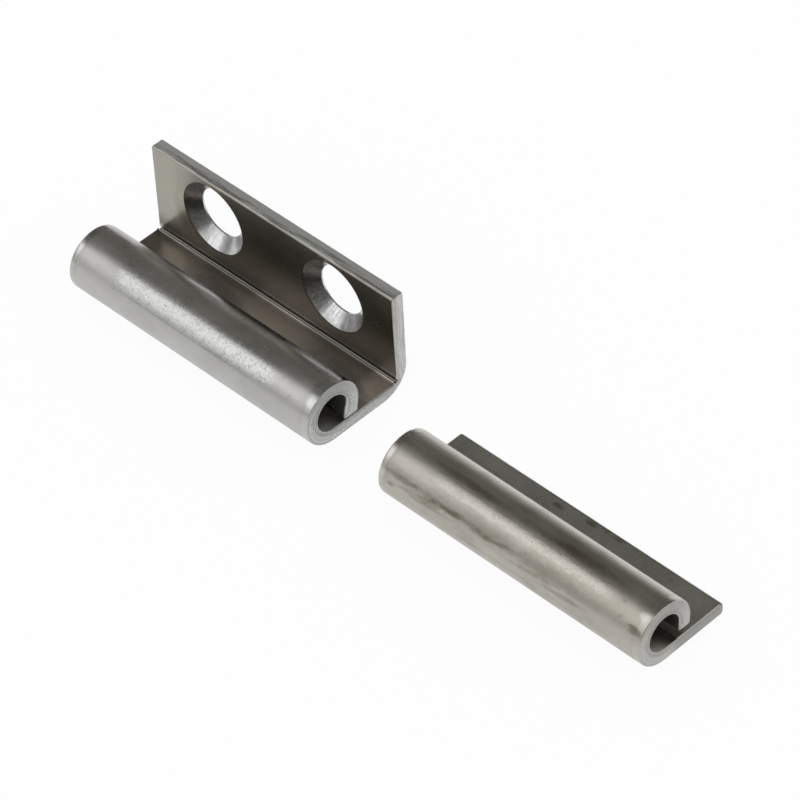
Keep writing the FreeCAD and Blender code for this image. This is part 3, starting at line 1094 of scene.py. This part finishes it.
@dataclass
class WeldOnLeaf(Leaf):
    """Knuckle and a short flat tab."""

    node: str = "weld_on_leaf"
    slot: Slot = Slot.WELD_LEAF
    lean: float = 6.0
    lip_height: float = -1.9
    reach: float = 12.0
    top_round: float = 0.9
    bottom_round: float = 0.6
    tab_steps: int = 5

    def shape(self) -> Mesh:
        """Draw and sweep the strip.

        Returns:
            The leaf, in millimetres.
        """
        mesh = bmesh.new()
        outline = Outline(mesh, (0.0, -BORE))
        self.roll(outline)
        outline.round_corner((self.reach, -KNUCKLE), (0.0, 1.0), self.bottom_round, 90.0, self.tab_steps)
        outline.round_corner((self.reach, -BORE), (-1.0, 0.0), self.top_round, 90.0, self.tab_steps + 1)
        outline.line((self.plate_start, -BORE))
        outline.close()
        sweep(mesh, self.length, self.along_steps)
        break_ends(mesh, self.end_round, self.end_steps)
        return mesh

    def finish_of(self, face: bmesh.types.BMFace) -> Finish:
        """Say which finish a face takes, the tab's upper side among them.

        Args:
            face: a face of the leaf in millimetres.

        Returns:
            The finish.
        """
        middle = face.calc_center_median()
        if face.normal.z > 0.1 and middle.y > BORE and middle.z < 0.3 - BORE:
            return Finish.CHANNEL
        return super().finish_of(face)

    def finishes(self) -> tuple[Steel, ...]:
        """List the leaf's finishes.

        Returns:
            The finishes, in the order of the Finish enum.
        """
        grime = (
            Mark(24, 98, 26, 10, 0.3), Mark(14.5, 98, 8, 9, 0.65), Mark(36.5, 96, 7, 12, 0.65),
            Mark(28.5, 99, 6, 7, 0.4), Mark(1, 95, 2.2, 8, 0.35),
        )
        # Real stains; the broad mark at 146 degrees is partly painted shade on the highlight's lower flank.
        stains_and_shade = (
            Mark(47.8, 104, 1.4, 12, 0.4), Mark(24, 146, 28, 15, 0.34), Mark(4, 150, 4.2, 6, 0.4),
            Mark(10, 158, 7, 6.5, 0.36, -1.2), Mark(14.5, 150.5, 5.4, 6, 0.36),
            Mark(22, 152.5, 5, 6, 0.45, -1), Mark(10, 166.5, 5, 4, 0.4, -0.6),
            Mark(29.5, 163, 6, 4.5, 0.35, -0.8), Mark(35.5, 168, 5, 5, 0.4, -0.6),
            Mark(2.4, 170, 1, 5.5, 0.6), Mark(48.3, 146, 1.3, 9, 0.6), Mark(44.8, 118, 0.6, 4.5, 0.35),
            Mark(24, 186, 24, 6, 0.15),
        )
        tints_and_highlights = (Mark(15, 117, 5.5, 10, 0.5), Mark(37, 114, 7, 9, 0.5), Mark(11, 140, 8, 9, 0.35))
        # Painted highlights on the end rings, on the knuckle's back rim and in its dark band.
        painted_highlights = (
            Mark(48.9, 121, 1, 8.5, 1), Mark(0.5, 123, 0.6, 15, 0.9), Mark(0.5, 160, 0.75, 20, 0.85),
            Mark(6, 128, 5.5, 13, 0.35), Mark(20, 84, 0.9, 16, 0.2), Mark(27.5, 82, 0.8, 14, 0.15),
            Mark(25, 40, 45, 16, 0.3), Mark(46.5, 90, 3.2, 16, 0.35), Mark(4, 82, 4.5, 12, 0.3),
        )
        specks = (
            Mark(20.4, 10.2, 1.2, 0.6, 0.85), Mark(26.3, 10.8, 1.3, 0.55, 0.9),
            Mark(28.9, 10.9, 0.9, 0.5, 0.35), Mark(31.3, 11, 1.2, 0.5, 0.75), Mark(42, 10, 0.5, 0.4, 0.4),
            Mark(46.5, 7, 5, 1.6, 0.12),
        )
        scuffs = (
            Mark(5.5, 10.8, 2.6, 0.6, 0.5), Mark(28.2, 10.2, 0.16, 1, 0.7, 0.25),
            Mark(33.4, 11, 1.3, 0.35, 0.4), Mark(43.3, 10.4, 2.4, 0.9, 0.45), Mark(14.5, 11, 3, 0.5, 0.4),
        )
        painted_sheens = (Mark(10, 10.4, 8, 2, 0.25), Mark(45.5, 9.5, 4.5, 3, 0.3))
        return (
            RolledSteel("weld_leaf_rolled", self.origin, (0.41, 0.39, 0.345), (0.46, 0.44, 0.395),
                        (0.58, 0.56, 0.52), (0.18, 0.162, 0.125), 0.25, Press(10.0, 42.0, 107.0, 128.0),
                        stains_and_shade, tints_and_highlights, painted_highlights, grime, press_polish=0.11, grain_share=0.35,
                        brow_polish=0.14, flattening=0.32, hump=0.25),
            ShearedSteel("weld_leaf_sheared", self.origin, (0.5, 0.495, 0.475), (0.28, 0.275, 0.26),
                         (0.62, 0.615, 0.59), inner_face=40.0, top_shade=0.6, strip_shade=0.75,
                         crumb_share=0.4, layer_share=0.35),
            BoreSteel("weld_leaf_bore", self.origin, (0.3, 0.29, 0.25), (0.8, 0.79, 0.74), 0.5),
            ChannelSteel("weld_leaf_tab", self.origin, (0.4, 0.39, 0.36), (0.22, 0.215, 0.195),
                         (0.52, 0.515, 0.485), (0.2, 0.195, 0.17), 0.38, 11.1, 11.5, painted_sheens,
                         (0.76, 0.75, 0.72), 0.3, specks, scuffs, mottle=0.2),
        )


@dataclass
class HingePin(Piece):
    """The pin inside the screw-on leaf's knuckle."""

    node: str = "hinge_pin"
    length: float = 43.0
    radius: float = 2.95
    chamfer: float = 0.5
    sides: int = 64
    along_steps: int = 14

    def shape(self) -> Mesh:
        """Draw out and chamfer the pin.

        Returns:
            The pin, in millimetres.
        """
        mesh = bmesh.new()
        bmesh.ops.create_circle(mesh, cap_ends=False, radius=self.radius, segments=self.sides)
        upright = Matrix.Rotation(math.radians(90.0), 3, "Y")
        bmesh.ops.rotate(mesh, verts=mesh.verts[:], cent=CENTRE, matrix=upright)
        sweep(mesh, self.length, self.along_steps)
        break_ends(mesh, self.chamfer, 1)
        return mesh

    def finishes(self) -> tuple[Steel, ...]:
        """Give the pin's one finish."""
        return (DrawnSteel("pin_drawn", self.origin),)


# Studio


@dataclass(frozen=True)
class Card:
    """A curved card round the hinge's long axis, seen only in reflections."""

    name: str
    tone: Colour
    first: float
    last: float
    low: float
    high: float
    radius: float = 0.8


@dataclass
class Studio:
    """White floor and air, one soft lamp, dark cards, and the camera."""

    target: Point = (-0.001876, 0.003461, 0.0053)
    azimuth: float = -46.755
    elevation: float = 44.365
    roll: float = -3.416
    distance: float = 0.71584
    focal: float = 223.76
    floor_size: float = 3.0
    shadow_share: float = 0.06
    air: float = 0.9
    lamp_angle: float = 135.0
    lamp_sideways: float = -0.36
    lamp_distance: float = 0.9
    lamp_size: tuple[float, float] = (0.74, 0.46)
    lamp_power: float = 0.42
    cards: tuple[Card, ...] = (
        Card("dark_back", (0.205, 0.199, 0.182), -1.1, 1.2, 4.0, 110.0),
        Card("grey_front", (0.5, 0.5, 0.49), -1.1, -0.1, 167.0, 179.0),
        Card("grey_left", (0.4, 0.4, 0.39), -2.6, -0.74, 120.0, 179.0),
        Card("dark_room", (0.13, 0.125, 0.118), 0.08, 1.2, 128.0, 178.0),
    )

    def seen(self, graph: Graph) -> Reading:
        """Tell the rays that see the studio from those that only carry light.

        Args:
            graph: the node tree that asks.

        Returns:
            1 on camera, glossy and transmission rays, and 0 on others.
        """
        path = graph.node("ShaderNodeLightPath")
        camera = graph.read(path, "Is Camera Ray")
        glossy = graph.read(path, "Is Glossy Ray")
        through = graph.read(path, "Is Transmission Ray")
        return camera.apply("MAXIMUM", glossy).apply("MAXIMUM", through)

    def build(self) -> None:
        """Build the whole studio."""
        self.make_air()
        self.make_floor()
        self.make_lamp()
        for card in self.cards:
            self.make_card(card)
        self.make_camera()

    def make_air(self) -> None:
        """Fill the studio with soft light, and show it white."""
        world = bpy.data.worlds.new("studio_air")
        world.use_nodes = True
        graph = Graph(world.node_tree)
        soft = graph.node("ShaderNodeBackground", {"Color": WHITE, "Strength": self.air})
        white = graph.node("ShaderNodeBackground", {"Color": WHITE, "Strength": 1.0})
        sides = {0: self.seen(graph), 1: soft.outputs[0], 2: white.outputs[0]}
        mixed = graph.node("ShaderNodeMixShader", sides)
        graph.node("ShaderNodeOutputWorld", {"Surface": mixed.outputs[0]})
        bpy.context.scene.world = world

    def make_floor(self) -> None:
        """Lay a white floor that keeps a soft shadow."""
        mesh = bmesh.new()
        bmesh.ops.create_grid(mesh, x_segments=1, y_segments=1, size=self.floor_size / 2)
        floor = placed("floor", mesh)
        graph = Graph(new_material("floor_white", floor))
        matte = graph.node("ShaderNodeBsdfDiffuse", {"Color": (0.92, 0.92, 0.92)})
        white = graph.node("ShaderNodeEmission", {"Color": WHITE, "Strength": 1.0})
        share = self.seen(graph) * (1.0 - self.shadow_share)
        mixed = graph.node("ShaderNodeMixShader", {0: share, 1: matte.outputs[0], 2: white.outputs[0]})
        graph.node("ShaderNodeOutputMaterial", {"Surface": mixed.outputs[0]})

    def make_lamp(self) -> None:
        """Hang one large soft lamp in front and to the left."""
        data = bpy.data.lights.new("soft_lamp", "AREA")
        data.shape = "RECTANGLE"
        data.size, data.size_y = self.lamp_size
        data.energy = self.lamp_power
        lamp = added("soft_lamp", data)
        reach = math.sqrt(1.0 - self.lamp_sideways ** 2)
        place = Vector((self.lamp_sideways, *polar(reach, self.lamp_angle)))
        lamp.location = place * self.lamp_distance
        upwards = place.cross(Vector(ALONG)).normalized()
        lamp.rotation_euler = Matrix((upwards.cross(place), upwards, place)).transposed().to_euler()

    def make_card(self, card: Card) -> None:
        """Bend a card round the hinge's long axis.

        Args:
            card: its tone, its reach along the axis and the angles between which it stands.
        """
        mesh = bmesh.new()
        edge = polar(card.radius, card.low)
        first = bmesh.ops.create_vert(mesh, co=(card.first, *edge))["vert"][0]
        bmesh.ops.spin(mesh, geom=[first], cent=CENTRE, axis=ALONG,
                       angle=math.radians(card.high - card.low), steps=24, use_merge=False)
        draw_out(mesh, card.last - card.first, 1)
        sheet = placed(card.name, mesh)
        graph = Graph(new_material(card.name, sheet))
        felt = graph.node("ShaderNodeBsdfDiffuse", {"Color": card.tone})
        graph.node("ShaderNodeOutputMaterial", {"Surface": felt.outputs[0]})
        sheet.visible_camera = False
        sheet.visible_diffuse = False
        sheet.visible_shadow = False

    def make_camera(self) -> None:
        """Set up the camera at the photograph's angle."""
        azimuth = math.radians(self.azimuth)
        level, rise = polar(1.0, -self.elevation)
        forward = Vector((math.sin(azimuth) * level, math.cos(azimuth) * level, rise))
        data = bpy.data.cameras.new("camera")
        data.sensor_width = 36.0
        data.lens = self.focal
        data.clip_start = 0.01
        camera = added("camera", data)
        camera.location = Vector(self.target) - forward * self.distance
        tilt = Quaternion((0.0, 0.0, 1.0), math.radians(self.roll))
        camera.rotation_mode = "QUATERNION"
        camera.rotation_quaternion = forward.to_track_quat("-Z", "Y") @ tilt
        bpy.context.scene.camera = camera


def main() -> None:
    """Build the pieces in order and write down how large they are."""
    logging.basicConfig(level=logging.INFO, format="%(name)s: %(message)s")
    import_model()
    axis = (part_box("screw_on_leaf")[0].y + KNUCKLE * MM, KNUCKLE * MM)
    for kind in (ScrewOnLeaf, WeldOnLeaf, HingePin):
        piece = kind(axis).build()
        LOG.info("%s: %d faces", piece.name, len(piece.data.polygons))
    Studio().build()
    bpy.context.scene.view_settings.view_transform = "Standard"
    bpy.context.view_layer.update()


if __name__ == "__main__":
    main()
